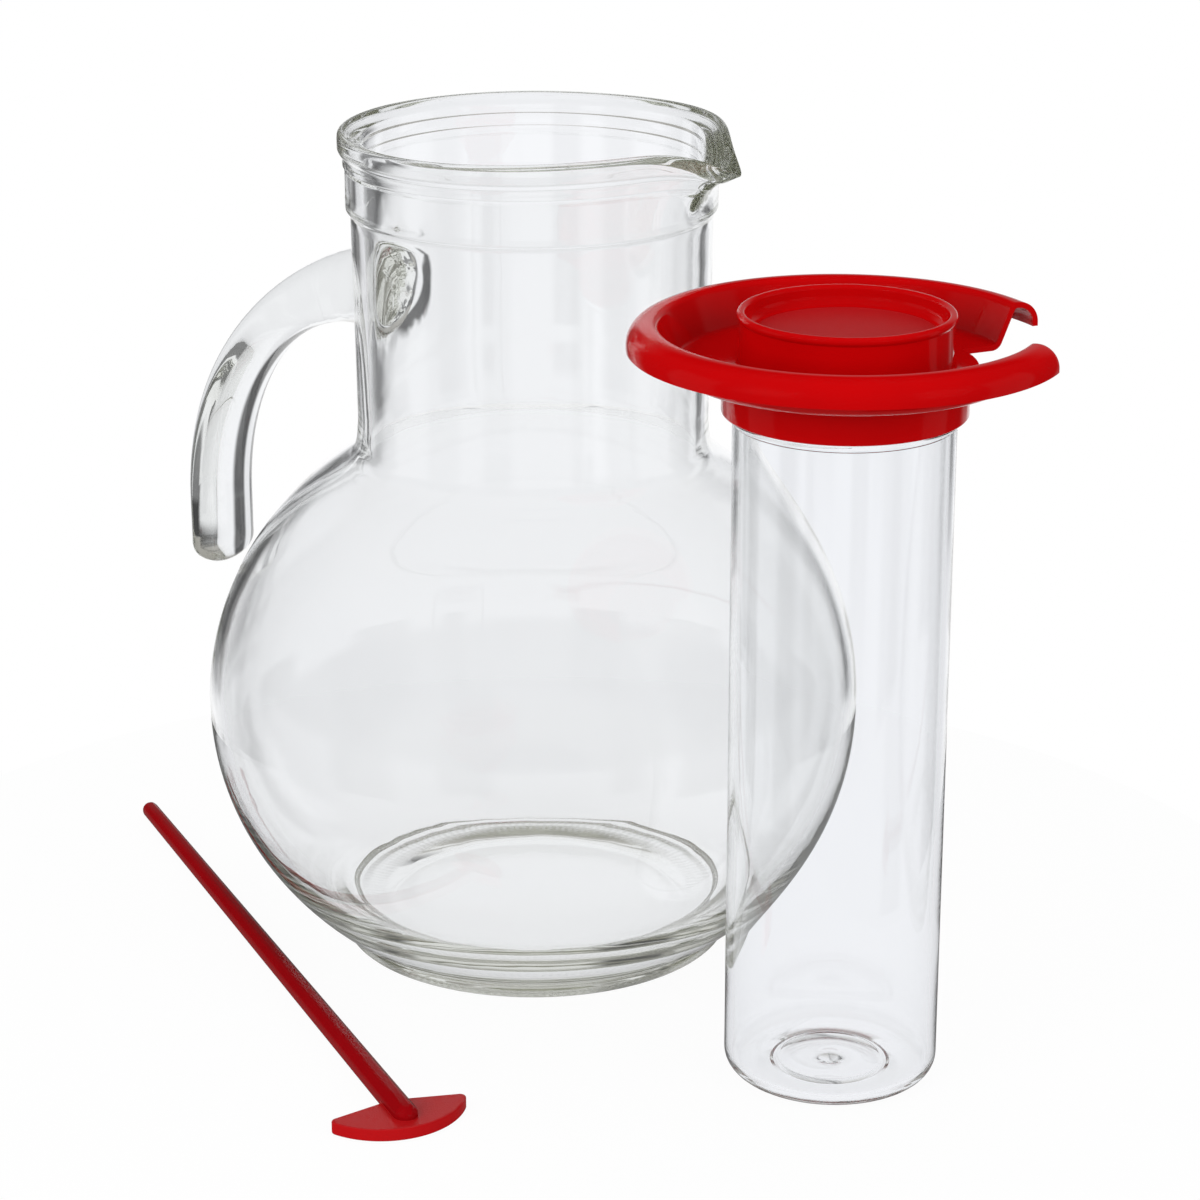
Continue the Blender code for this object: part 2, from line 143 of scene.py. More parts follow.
bpy.ops.mesh.primitive_circle_add(
    vertices=TABLE_STEPS, radius=TABLE_RADIUS, fill_type="NGON", location=(0.0, 0.0, TABLE_LEVEL)
)
floor = bpy.context.object
floor.name = "white_sweep"
paper = bpy.data.materials.new("white_sweep")
paper.use_nodes = True
paper_nodes = paper.node_tree.nodes
paper_nodes.remove(paper_nodes["Principled BSDF"])
paper_wire = Wire(paper.node_tree)
matt = paper_wire.node("ShaderNodeBsdfDiffuse", None, {"Color": PAPER_WHITE})
straight, mirrored, through = seen_rays(paper_wire)
tint = between(through, PLAIN_WHITE, COOL_WHITE)
strength = straight + through + mirrored * TABLE_MIRRORED
glow = paper_wire.node("ShaderNodeEmission", None, {"Color": tint, "Strength": strength})
shown = (straight + mirrored + through) * TABLE_GLOW
surface = paper_wire.node("ShaderNodeMixShader", None, {0: shown, 1: matt, 2: glow})
surface.to(paper_nodes["Material Output"].inputs["Surface"])
floor.data.materials.append(paper)

# The studio is a white room. Through the clear pieces it shows a grey ceiling, darker sides and two dark
# gaps between its walls, which draw their edges, and in what shines it is dim, with windows at its sides.
# Bearings are in degrees from straight behind the set, and heights run from -1 below it to 1 overhead.
# An edge is where a soft step starts and ends. A gap has its middle, its half width and its brightness.
STUDIO_FILL = 0.55
WARM_GREY = (1.0, 0.98, 0.93, 1.0)
CEILING_LEVEL = 0.42
CEILING_EDGE = (0.38, 0.60)
SIDE_LEVEL = 0.24
SIDE_EDGE = (46.0, 54.0)
SIDE_TABLE_EDGE = (70.0, 78.0)
TABLE_EDGE = (-0.16, -0.04)
BACK_EDGE = (-0.15, 0.10)
GAPS = {-23.0: (9.5, 0.10), 33.0: (5.5, 0.12)}
GAP_SOFTNESS = 3.5
GAP_FOOT = (-0.35, -0.28)
MIRROR_FRONT = 0.02
MIRROR_SIDE = 0.12
MIRROR_HIGH = 0.27
MIRROR_BACK_EDGE = (-0.05, 0.15)
MIRROR_BACK_SIDES = (25.0, 50.0)
MIRROR_WINDOW_EDGE = (72.0, 76.0)
MIRROR_HIGH_FOOT = (-0.02, 0.12)
MIRROR_HIGH_TOP = (0.30, 0.60)

studio = bpy.data.worlds.new("white_studio")
bpy.context.scene.world = studio
studio.use_nodes = True
studio_wire = Wire(studio.node_tree)
across, ahead, up = studio_wire.node("ShaderNodeTexCoord", None, None, "Generated").split()
bearing = studio_wire.math("ARCTAN2", across, abs(ahead)) * math.degrees(1.0)
turned_aside = abs(bearing)
over_table = up.step(*TABLE_EDGE)
table_beside = turned_aside.step(*SIDE_TABLE_EDGE) * (1.0 - over_table)
walls = 1.0 - turned_aside.step(*SIDE_EDGE) * (1.0 - table_beside) * (1.0 - SIDE_LEVEL)
over_gap_foot = up.step(*GAP_FOOT)
for middle, (half_width, dark) in GAPS.items():
    gap = 1.0 - abs(bearing - middle).step(half_width - GAP_SOFTNESS, half_width + GAP_SOFTNESS)
    walls = (1.0 - gap * over_gap_foot * (1.0 - dark)) * walls
ceiling = up.step(*CEILING_EDGE)
in_front = 1.0 - ahead.step(*BACK_EDGE)
back_wall = walls * (1.0 - in_front * over_table * (1.0 - SIDE_LEVEL))
room = back_wall * (1.0 - ceiling) + ceiling * CEILING_LEVEL
windows = turned_aside.step(*MIRROR_WINDOW_EDGE) * (1.0 - ceiling)
behind = ahead.step(*MIRROR_BACK_EDGE) * (1.0 - turned_aside.step(*MIRROR_BACK_SIDES))
high = up.step(*MIRROR_HIGH_FOOT)
backdrop = walls * (1.0 - high) + high * (1.0 - up.step(*MIRROR_HIGH_TOP)) * MIRROR_HIGH
shine = behind * backdrop + (1.0 - behind) * (windows * MIRROR_SIDE + MIRROR_FRONT)
straight, mirrored, through = seen_rays(studio_wire)
soft = 1.0 - straight - mirrored - through
brightness = straight + through * room + mirrored * shine + soft * STUDIO_FILL
background = studio.node_tree.nodes["Background"].inputs
brightness.to(background["Strength"])
between(through, PLAIN_WHITE, between(ceiling, COOL_WHITE, WARM_GREY)).to(background["Color"])

# Three softboxes light the set, two in front of it and one overhead.
# They stay out of the camera's sight, and don't show in the glass or in what shines.
# Each has its place, its width and its power.
SOFTBOX_AIM = Vector((0.0, 0.0, 0.11))
SOFTBOXES = {
    "softbox_left": ((-0.80, -0.90, 0.65), 0.7, 8.0),
    "softbox_right": ((0.90, -0.80, 0.55), 0.6, 4.5),
    "softbox_top": ((0.10, 0.35, 1.40), 0.9, 4.0),
}
for name, (place, size, power) in SOFTBOXES.items():
    turn = (SOFTBOX_AIM - Vector(place)).to_track_quat("-Z", "Y").to_euler()
    bpy.ops.object.light_add(type="AREA", location=place, rotation=turn)
    lamp = bpy.context.object
    lamp.name = name
    lamp.data.size = size
    lamp.data.energy = power
    lamp.visible_camera = False
    lamp.visible_transmission = False
    lamp.visible_glossy = False

# The jug is one piece of clear pressed glass: a round belly on a knurled foot ring, a straight neck
# with a banded lip and a pulled spout, and an open hook handle that is drawn out of the same glass.
JUG_AXIS = Vector((-0.00273, 0.02730, 0.0))
JUG_STEPS = 288
JUG_HEIGHT = 0.2225
GLASS_WALL = 0.0034
MERGE_DISTANCE = 0.00001
SMOOTH_ANGLE = math.radians(38.0)

BELLY_RADIUS = 0.0880
BELLY_MIDDLE = 0.0670
SHOULDER_HEIGHT = 0.1360
SHOULDER_BLEND = 0.0048
BASE_THICKNESS = 0.0075
BASE_BLEND = 0.0100

NECK_RADIUS = 0.0463
NECK_FLARE = 0.0010
NECK_RING_START = 0.0100
NECK_RING_GAP = 0.0025
NECK_RING_COUNT = 22
BAND_RADIUS = 0.0485
BAND_FOOT = 0.2015
BAND_EDGE = 0.0011
BAND_EDGE_LIFT = 0.0014
BAND_FILLET = 0.0002
BAND_FILLET_DROP = 0.0010
BAND_RING_START = 0.0024
BAND_RING_GAP = 0.0012
BAND_RING_COUNT = 8

MOUTH_RADIUS = 0.0441
MOUTH_LEDGE = 0.2120
MOUTH_LEDGE_EDGE = 0.0004
MOUTH_RING_START = 0.0006
MOUTH_RING_GAP = 0.0010
MOUTH_RING_COUNT = 7
LIP_RADIUS = 0.0503
LIP_HEIGHT = 0.2186
LIP_ROUND = 0.0022
LIP_SIDE = (0.0017, 0.0026)
LIP_UNDERCUT = 50
LIP_INSIDE = 0.2203
LIP_EDGE = 0.0005
LIP_TOP_SLOPE = 117
CREST_RADIUS = 0.0490
CREST_ROUND = 0.0012
CREST_END = 15
LIP_COLLAR_RADIUS = 0.0490
LIP_COLLAR_FOOT = 0.2136
LIP_COLLAR_FILLET = 0.0012
LIP_COLLAR_FILLET_DROP = 0.0026
LIP_COLLAR_SIDE = (0.0014, 0.0007)
LIP_COLLAR_EDGE = 0.0005
LIP_COLLAR_STEP = 0.0002
EDGE_TURN = 60

FOOT_RADIUS = 0.0529
FOOT_HEIGHT = 0.0044
FOOT_NECK = 0.0548
FOOT_FILLET = (0.0014, 0.0005)
FOOT_EDGE = 0.0013
FOOT_INNER = 0.0464
PUNT_DEPTH = 0.0008
PUNT_RUN = 0.0120
PUNT_STEPS = 8
PUNT_FLAT = 0.0200
KNURL_DEPTH = 0.0002
KNURL_COUNT = JUG_STEPS // 2
KNURL_OUTER = (0.0018, 0.0032)
KNURL_INNER = (0.0020, 0.0006)
ON_TABLE = 0.0001


def arc(middle, radius, start, end, count):
    """Points of a circular arc in a profile, angles in degrees from outwards."""
    turns = [math.radians(start + (end - start) * i / count) for i in range(count + 1)]
    return [(middle[0] + radius * math.cos(turn), middle[1] + radius * math.sin(turn)) for turn in turns]


def larger(first, second, width):
    """The larger of two values, with the corner between them rounded."""
    return (first + second + math.hypot(first - second, width)) / 2


def select_only(piece):
    """Select one piece alone."""
    bpy.ops.object.select_all(action="DESELECT")
    bpy.context.view_layer.objects.active = piece
    piece.select_set(True)


def drawn(name, points):
    """Draw a line from point to point by extruding one vertex."""
    bpy.ops.object.select_all(action="DESELECT")
    bpy.ops.mesh.primitive_plane_add(size=0.01, location=(0.0, 0.0, 0.0))
    piece = bpy.context.object
    piece.name = name
    bpy.ops.object.mode_set(mode="EDIT")
    bpy.ops.mesh.select_mode(type="VERT")
    bpy.ops.mesh.select_all(action="SELECT")
    bpy.ops.mesh.merge(type="CENTER")
    bpy.ops.transform.translate(value=points[0])
    for here, there in zip(points, points[1:]):
        move = Vector(there) - Vector(here)
        bpy.ops.mesh.extrude_region_move(TRANSFORM_OT_translate={"value": move})
    bpy.ops.object.mode_set(mode="OBJECT")
    return piece


def spin_shut(steps, angle):
    """Spin what is selected in edit mode about the Z axis, merge its seams and turn its faces outwards."""
    bpy.ops.mesh.spin(steps=steps, angle=angle, center=(0.0, 0.0, 0.0), axis=(0.0, 0.0, 1.0))
    bpy.ops.mesh.select_all(action="SELECT")
    bpy.ops.mesh.remove_doubles(threshold=MERGE_DISTANCE)
    bpy.ops.mesh.normals_make_consistent(inside=False)
    bpy.ops.object.mode_set(mode="OBJECT")


def turned(name, profile, steps):
    """Draw a profile beside the Z axis and spin it into a closed solid."""
    piece = drawn(name, [(radius, 0.0, height) for radius, height in profile])
    bpy.ops.object.mode_set(mode="EDIT")
    bpy.ops.mesh.select_all(action="SELECT")
    spin_shut(steps, 2 * math.pi)
    return piece


def use_modifier(piece, kind, **settings):
    """Add a modifier to a piece and apply it."""
    select_only(piece)
    bpy.ops.object.modifier_add(type=kind)
    modifier = piece.modifiers[-1]
    for setting, value in settings.items():
        setattr(modifier, setting, value)
    bpy.ops.object.modifier_apply(modifier=modifier.name)


def combine(piece, tool, operation):
    """Join a piece with another shape, or cut the shape out of it, and remove the shape."""
    use_modifier(piece, "BOOLEAN", operation=operation, solver="EXACT", object=tool)
    bpy.data.objects.remove(tool, do_unlink=True)


def select_where(piece, test):
    """Enter edit mode with just the vertices selected whose place passes a test."""
    select_only(piece)
    bpy.ops.object.mode_set(mode="EDIT")
    bpy.ops.mesh.select_mode(type="VERT")
    bpy.ops.mesh.select_all(action="DESELECT")
    bpy.ops.object.mode_set(mode="OBJECT")
    for vertex in piece.data.vertices:
        vertex.select = test(vertex.co)
    bpy.ops.object.mode_set(mode="EDIT")


def stand_at(piece, place):
    """Move a piece to its place and keep the place in its mesh, with its object at the origin."""
    select_only(piece)
    piece.location = place
    bpy.ops.object.transform_apply(location=True, rotation=True, scale=True)


belly_rise = (SHOULDER_HEIGHT - BELLY_MIDDLE) / math.sqrt(1 - (NECK_RADIUS / BELLY_RADIUS) ** 2)
belly_drop = (BELLY_MIDDLE - FOOT_HEIGHT) / math.sqrt(1 - (FOOT_NECK / BELLY_RADIUS) ** 2)
neck_turn = math.acos(NECK_RADIUS / BELLY_RADIUS) + 2 * SHOULDER_BLEND / NECK_RADIUS
foot_turn = math.acos(FOOT_NECK / BELLY_RADIUS)


def belly(depth, start, end, count):
    """The belly's side at a depth in the glass, between two angles about its middle, run into the neck."""
    points = []
    for i in range(count + 1):
        turn = start + (end - start) * i / count
        height = (belly_rise if turn > 0 else belly_drop) - depth
        across = (BELLY_RADIUS - depth) * math.cos(turn)
        if turn > 0:
            across = larger(across, NECK_RADIUS - depth, SHOULDER_BLEND)
        points.append((across, BELLY_MIDDLE + height * math.sin(turn)))
    return points


def neck(depth, top, heights):
    """The neck's side at a depth in the glass, which flares a little up to its top."""
    points = []
    for height in heights:
        flare = NECK_FLARE * (height - SHOULDER_HEIGHT) / (top - SHOULDER_HEIGHT)
        points.append((NECK_RADIUS - depth + flare, height))
    return points


def rings(foot, gap, count):
    """Heights at even gaps, which keep a long straight side's faces short and its shading true."""
    return [foot + gap * i for i in range(count)]


neck_rings = rings(SHOULDER_HEIGHT + NECK_RING_START, NECK_RING_GAP, NECK_RING_COUNT)
band_rings = rings(BAND_FOOT + BAND_RING_START, BAND_RING_GAP, BAND_RING_COUNT)
mouth_rings = rings(MOUTH_LEDGE + MOUTH_RING_START, MOUTH_RING_GAP, MOUTH_RING_COUNT)
neck_top = NECK_RADIUS + NECK_FLARE
inner_neck_top = NECK_RADIUS - GLASS_WALL + NECK_FLARE
inside = belly(GLASS_WALL, -math.pi / 2, neck_turn, 54)
profile = [(radius, larger(height, BASE_THICKNESS, BASE_BLEND)) for radius, height in inside]
profile += neck(GLASS_WALL, MOUTH_LEDGE, neck_rings + band_rings)
profile += [(inner_neck_top, MOUTH_LEDGE - MOUTH_LEDGE_EDGE), (inner_neck_top, MOUTH_LEDGE)]
profile += [(MOUTH_RADIUS, height) for height in mouth_rings]
profile += arc((MOUTH_RADIUS + LIP_EDGE, LIP_INSIDE - LIP_EDGE), LIP_EDGE, 180, LIP_TOP_SLOPE, 5)
profile += arc((CREST_RADIUS, JUG_HEIGHT - CREST_ROUND), CREST_ROUND, LIP_TOP_SLOPE, CREST_END, 12)
profile += [(LIP_RADIUS, JUG_HEIGHT - fall) for fall in LIP_SIDE]
profile += arc((LIP_RADIUS - LIP_ROUND, LIP_HEIGHT), LIP_ROUND, 0, -LIP_UNDERCUT, 6)
fillet_middle = (LIP_COLLAR_RADIUS + LIP_COLLAR_FILLET, LIP_HEIGHT - LIP_COLLAR_FILLET_DROP)
profile += arc(fillet_middle, LIP_COLLAR_FILLET, 180 - LIP_UNDERCUT, 180, 4)[1:]
profile += [(LIP_COLLAR_RADIUS, LIP_COLLAR_FOOT + lift) for lift in LIP_COLLAR_SIDE]
edge_middle = (LIP_COLLAR_RADIUS - LIP_COLLAR_EDGE, LIP_COLLAR_FOOT + LIP_COLLAR_EDGE)
profile += arc(edge_middle, LIP_COLLAR_EDGE, 0, -EDGE_TURN, 4)
profile += [(BAND_RADIUS, LIP_COLLAR_FOOT - LIP_COLLAR_STEP)]
profile += [(BAND_RADIUS, height) for height in reversed(band_rings)]
profile += arc((BAND_RADIUS - BAND_EDGE, BAND_FOOT + BAND_EDGE_LIFT), BAND_EDGE, 0, -EDGE_TURN, 4)
profile += [(neck_top + BAND_FILLET, BAND_FOOT - BAND_FILLET), (neck_top, BAND_FOOT - BAND_FILLET_DROP)]
profile += neck(0.0, BAND_FOOT, reversed(neck_rings))
profile += belly(0.0, neck_turn, -foot_turn, 64)
profile += [(FOOT_NECK - FOOT_FILLET[0], FOOT_HEIGHT - FOOT_FILLET[1])]
profile += [(FOOT_RADIUS, FOOT_HEIGHT - FOOT_FILLET[0])]
profile += arc((FOOT_RADIUS - FOOT_EDGE, FOOT_EDGE), FOOT_EDGE, 0, -90, 5)
profile += [(FOOT_RADIUS - inset, 0.0) for inset in KNURL_OUTER]
profile += [(FOOT_INNER + inset, 0.0) for inset in KNURL_INNER]
for k in range(PUNT_STEPS + 1):
    punt_rise = PUNT_DEPTH * math.sin(math.pi * k / (2 * PUNT_STEPS)) ** 2
    profile.append((FOOT_INNER - PUNT_RUN * k / PUNT_STEPS, punt_rise))
profile += [(PUNT_FLAT, PUNT_DEPTH), (0.0, PUNT_DEPTH)]
jug = turned("jug_glass", profile, JUG_STEPS)

SPOUT_BEARING = math.radians(-30.0)
SPOUT_REACH = 0.0117
SPOUT_HALF_ANGLE = math.radians(58.4)
SPOUT_SHARPNESS = 4.5
SPOUT_HEIGHT = 0.0200
SPOUT_TIP_ROUND = 0.03
DROP_DEPTH = 0.0071
DROP_HALF_ANGLE = math.radians(27.9)
DROP_SHARPNESS = 2.5
RIM_LIFT = 0.0013
RIM_LIFT_ANGLES = (math.radians(109.0), math.radians(23.5))


def pulled(turn, half_angle, sharpness):
    """1 at the middle of the spout, falling to 0 at an angle away from it, with a rounded tip."""
    away = min(turn / half_angle, 1.0)
    blunt = math.hypot(away, SPOUT_TIP_ROUND) - SPOUT_TIP_ROUND * (1.0 - away)
    return max(0.0, 1.0 - blunt) ** sharpness


spout_ahead = Vector((math.cos(SPOUT_BEARING), math.sin(SPOUT_BEARING), 0.0))
column = 2 * math.pi / JUG_STEPS
knurl_inside = FOOT_INNER + sum(KNURL_INNER) / 2
knurl_outside = FOOT_RADIUS - sum(KNURL_OUTER) / 2
for vertex in jug.data.vertices:
    flat = Vector((vertex.co.x, vertex.co.y, 0.0))
    turn = spout_ahead.angle(flat, math.pi)
    near_rim = max(0.0, (vertex.co.z - JUG_HEIGHT + SPOUT_HEIGHT) / SPOUT_HEIGHT) ** 2
    if near_rim:
        outward = SPOUT_REACH * pulled(turn, SPOUT_HALF_ANGLE, SPOUT_SHARPNESS)
        sink = DROP_DEPTH * pulled(turn, DROP_HALF_ANGLE, DROP_SHARPNESS)
        climb = (turn - RIM_LIFT_ANGLES[0]) / (RIM_LIFT_ANGLES[1] - RIM_LIFT_ANGLES[0])
        climb = min(max(climb, 0.0), 1.0)
        lift = RIM_LIFT * climb * climb * (3.0 - 2.0 * climb)
        vertex.co += near_rim * (spout_ahead * outward + Vector((0.0, 0.0, lift - sink)))
    on_ring = knurl_inside < flat.length < knurl_outside and vertex.co.z < ON_TABLE
    if on_ring and round(math.atan2(flat.y, flat.x) / column) % 2:
        vertex.co.z += KNURL_DEPTH

HANDLE_ROOT = (0.0436, 0.1752)
HANDLE_REACH = 0.1030
HANDLE_BEND_HEIGHT = 0.1080
HANDLE_END_HEIGHT = 0.0880
HANDLE_PULLS = (0.55, 0.60)
HANDLE_END_PULL = 0.001
HANDLE_CUTS = 35
HANDLE_WIDTH = 0.0220
HANDLE_DEPTH = 0.0130
HANDLE_SQUARENESS = 1.15
HANDLE_ROUND_STEPS = 12
HANDLE_ROOT_DEPTH = 0.0240
HANDLE_SWELL_RUN = 0.62
HANDLE_FLARE = 0.20
HANDLE_FLARE_RUN = 0.0050
HANDLE_SIDE_FLARE = 0.35
HANDLE_SIDE_FLARE_RUN = 0.0080
HANDLE_END_STEPS = 6
HANDLE_END_POINT = 0.02
# Each smoothing has its reach from the neck, its width about the root and its number of passes.
HANDLE_SMOOTHING = ((0.0160, 0.034, 5), (0.0120, 0.030, 8), (0.0070, 0.025, 20))
NECK_SKIN = 0.0002


def free_handles(points):
    """Let both pulls of each point of a curve move by themselves."""
    for point in points:
        point.handle_left_type = "FREE"
        point.handle_right_type = "FREE"


bpy.ops.object.select_all(action="DESELECT")
bpy.ops.curve.primitive_bezier_circle_add(radius=HANDLE_DEPTH / 2, location=(0.0, 0.0, 0.0))
section = bpy.context.object
section.data.resolution_u = HANDLE_ROUND_STEPS
for point in section.data.splines[0].bezier_points:
    left, right = point.handle_left - point.co, point.handle_right - point.co
    free_handles([point])
    point.handle_left = point.co + left * HANDLE_SQUARENESS
    point.handle_right = point.co + right * HANDLE_SQUARENESS
bpy.ops.object.select_all(action="DESELECT")
bpy.ops.curve.primitive_bezier_curve_add(location=(0.0, 0.0, 0.0))
handle = bpy.context.object
handle.data.bevel_mode = "OBJECT"
handle.data.bevel_object = section
handle.data.twist_mode = "MINIMUM"
handle.data.resolution_u = 2
root, bend = handle.data.splines[0].bezier_points
free_handles([root, bend])
root.co = (HANDLE_ROOT[0], 0.0, HANDLE_ROOT[1])
root.handle_left = root.co
root.handle_right = root.co + Vector((HANDLE_PULLS[0] * (HANDLE_REACH - HANDLE_ROOT[0]), 0.0, 0.0))
bend.co = (HANDLE_REACH, 0.0, HANDLE_BEND_HEIGHT)
bend.handle_left = bend.co + Vector((0.0, 0.0, HANDLE_PULLS[1] * (HANDLE_ROOT[1] - HANDLE_BEND_HEIGHT)))
bend.handle_right = bend.co - Vector((0.0, 0.0, HANDLE_END_PULL))
bpy.ops.object.mode_set(mode="EDIT")
bpy.ops.curve.select_all(action="SELECT")
bpy.ops.curve.subdivide(number_cuts=HANDLE_CUTS)
bpy.ops.object.mode_set(mode="OBJECT")
points = handle.data.splines[0].bezier_points
for i, point in enumerate(points):
    fade = max(0.0, 1.0 - i / (len(points) - 1) / HANDLE_SWELL_RUN)
    flare = HANDLE_FLARE * math.exp(-max(0.0, point.co.x - NECK_RADIUS) / HANDLE_FLARE_RUN)
    point.radius = 1.0 + (HANDLE_ROOT_DEPTH / HANDLE_DEPTH - 1.0) * fade ** 2 + flare
route = [(point.co.copy(), point.radius) for point in points]
bpy.ops.object.convert(target="MESH")
bpy.data.objects.remove(section, do_unlink=True)

straight_end = HANDLE_END_HEIGHT + HANDLE_DEPTH / 2
end_middle = (HANDLE_REACH, 0.0, straight_end)
select_where(handle, lambda place: place.z < HANDLE_BEND_HEIGHT + MERGE_DISTANCE)
down = (0.0, 0.0, straight_end - HANDLE_BEND_HEIGHT)
bpy.ops.mesh.extrude_region_move(TRANSFORM_OT_translate={"value": down})
turns = [math.radians(90.0 / HANDLE_END_STEPS * i) for i in range(HANDLE_END_STEPS + 1)]
for before, after in zip(turns, turns[1:]):
    sink = HANDLE_DEPTH / 2 * (math.sin(before) - math.sin(after))
    bpy.ops.mesh.extrude_region_move(TRANSFORM_OT_translate={"value": (0.0, 0.0, sink)})
    shrink = max(math.cos(after), HANDLE_END_POINT) / math.cos(before)
    bpy.ops.transform.resize(value=(shrink, shrink, 1.0), center_override=end_middle)
bpy.ops.mesh.select_all(action="SELECT")
bpy.ops.mesh.fill_holes(sides=0)
bpy.ops.mesh.normals_make_consistent(inside=False)
bpy.ops.object.mode_set(mode="OBJECT")
for vertex in handle.data.vertices:
    flare = math.exp(-max(0.0, vertex.co.x - NECK_RADIUS) / HANDLE_SIDE_FLARE_RUN)
    in_plane = Vector((vertex.co.x, 0.0, vertex.co.z))
    swell = min(route, key=lambda stop: (stop[0] - in_plane).length)[1]
    vertex.co.y *= HANDLE_WIDTH / HANDLE_DEPTH / swell * (1.0 + HANDLE_SIDE_FLARE * flare)
handle.rotation_euler.z = SPOUT_BEARING + math.pi
combine(jug, handle, "UNION")


def near_handle_root(place, reach, width):
    """True round the seam where the handle leaves the outside of the neck."""
    along = -place.dot(spout_ahead)
    aside = place + spout_ahead * along - Vector((0.0, 0.0, HANDLE_ROOT[1]))
    outside = math.hypot(place.x, place.y) - NECK_RADIUS
    return along > 0.0 and NECK_SKIN < outside < reach and aside.length < width


for reach, width, passes in HANDLE_SMOOTHING:
    select_where(jug, lambda place: near_handle_root(place, reach, width))
    bpy.ops.mesh.vertices_smooth(factor=0.5, repeat=passes)
    bpy.ops.object.mode_set(mode="OBJECT")
stand_at(jug, JUG_AXIS)
bpy.ops.object.shade_smooth_by_angle(angle=SMOOTH_ANGLE)

GLASS_IOR = 1.51
GLASS_TINT = (0.992, 0.994, 0.991, 1.0)
GLASS_DEPTH_COLOUR = (0.77, 0.78, 0.70, 1.0)
GLASS_DEPTH_DENSITY = 7.0
RIPPLE_SCALE = 55.0
RIPPLE_STRENGTH = 0.03
RIPPLE_HEIGHT = 0.002
SMEAR_SCALE = 22.0
SMEAR_EDGE = (0.45, 0.75)
SMEAR_ROUGHNESS = 0.03
KNURL_ROUGHNESS = 0.25
KNURL_INSIDE_EDGE = (FOOT_INNER - 0.0050, FOOT_INNER - 0.0020)
KNURL_TOP_EDGE = (0.0005, 0.0008)


def finish(piece, name, ior):
    """Give a piece a new material, and hand back its shader's sockets and the places on the piece."""
    material = bpy.data.materials.new(name)
    material.use_nodes = True
    piece.data.materials.clear()
    piece.data.materials.append(material)
    sockets = material.node_tree.nodes["Principled BSDF"].inputs
    sockets["IOR"].default_value = ior
    return sockets, Wire(material.node_tree).node("ShaderNodeTexCoord", None, None, "Object")


def off_axis(east, north):
    """How far a place is from an axis, by its way east and its way north."""
    return east.math("SQRT", east * east + north * north)


def noise(place, scale, detail):
    """An uneven value over the places on a piece, finer with a larger scale and more detail."""
    return place.node("ShaderNodeTexNoise", None, {"Vector": place, "Scale": scale, "Detail": detail})


def relief(height, strength, rise):
    """Bumps that follow a height, at a strength, up to a rise."""
    sockets = {"Height": height, "Strength": strength, "Distance": rise}
    return height.node("ShaderNodeBump", None, sockets, "Normal")


glass, place = finish(jug, "pressed_glass", GLASS_IOR)
glass["Base Color"].default_value = GLASS_TINT
glass["Transmission Weight"].default_value = 1.0
east, north, height = place.split()
east, north = east - JUG_AXIS.x, north - JUG_AXIS.y
knurls = place.math("SINE", place.math("ARCTAN2", north, east) * KNURL_COUNT)
dashes = knurls.step(-0.5, 0.5) * 0.5 + 0.5
on_foot = off_axis(east, north).step(*KNURL_INSIDE_EDGE) * (1.0 - height.step(*KNURL_TOP_EDGE))
smears = noise(place, SMEAR_SCALE, 4.0).step(*SMEAR_EDGE)
(smears * SMEAR_ROUGHNESS + on_foot * dashes * KNURL_ROUGHNESS).to(glass["Roughness"])
relief(noise(place, RIPPLE_SCALE, 2.0), RIPPLE_STRENGTH, RIPPLE_HEIGHT).to(glass["Normal"])
depth_colour = {"Color": GLASS_DEPTH_COLOUR, "Density": GLASS_DEPTH_DENSITY}
depth = place.node("ShaderNodeVolumeAbsorption", None, depth_colour)
depth.to(place.tree.nodes["Material Output"].inputs["Volume"])
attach(jug, "jug")
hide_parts("glass_jug")

# The ice tube is a thin-walled clear plastic moulding, closed and rounded at the bottom, with the dome
# of its moulding gate in the floor and a stop bead round its top. It screws into the lid.
INSERT_AXIS = Vector((0.07337, -0.062751, 0.0))
TUBE_STEPS = 180
TUBE_RADIUS = 0.0268
TUBE_LENGTH = 0.1827
TUBE_WALL = 0.0016
TUBE_FLOOR = 0.0022
TUBE_CORNER = 0.0050
TUBE_EDGE = 0.0004
TUBE_FOOT = 0.0148
TUBE_FOOT_EDGES = ((0.0003, 0.0), (0.0, 0.0002), (-0.0006, 0.0008))
GATE_RADIUS = 0.0055
GATE_HEIGHT = 0.0012
GATE_STEPS = 8
FLOOR_BEAD_PLACE = 0.0130
FLOOR_BEAD = 0.0008
FLOOR_BEAD_SINK = 0.0006
STOP_BEAD_HEIGHT = 0.1709
STOP_BEAD = 0.0009
STOP_BEAD_SINK = 0.0005
CLEAR_IOR = 1.49
CLEAR_TINT = (0.985, 0.988, 0.99, 1.0)
HAZE_SCALE = 30.0
HAZE_EDGE = (0.40, 0.80)
HAZE_ROUGHNESS = 0.05
CLEAR_FLOW_SCALE = 40.0
CLEAR_FLOW_STRENGTH = 0.02
CLEAR_FLOW_HEIGHT = 0.002

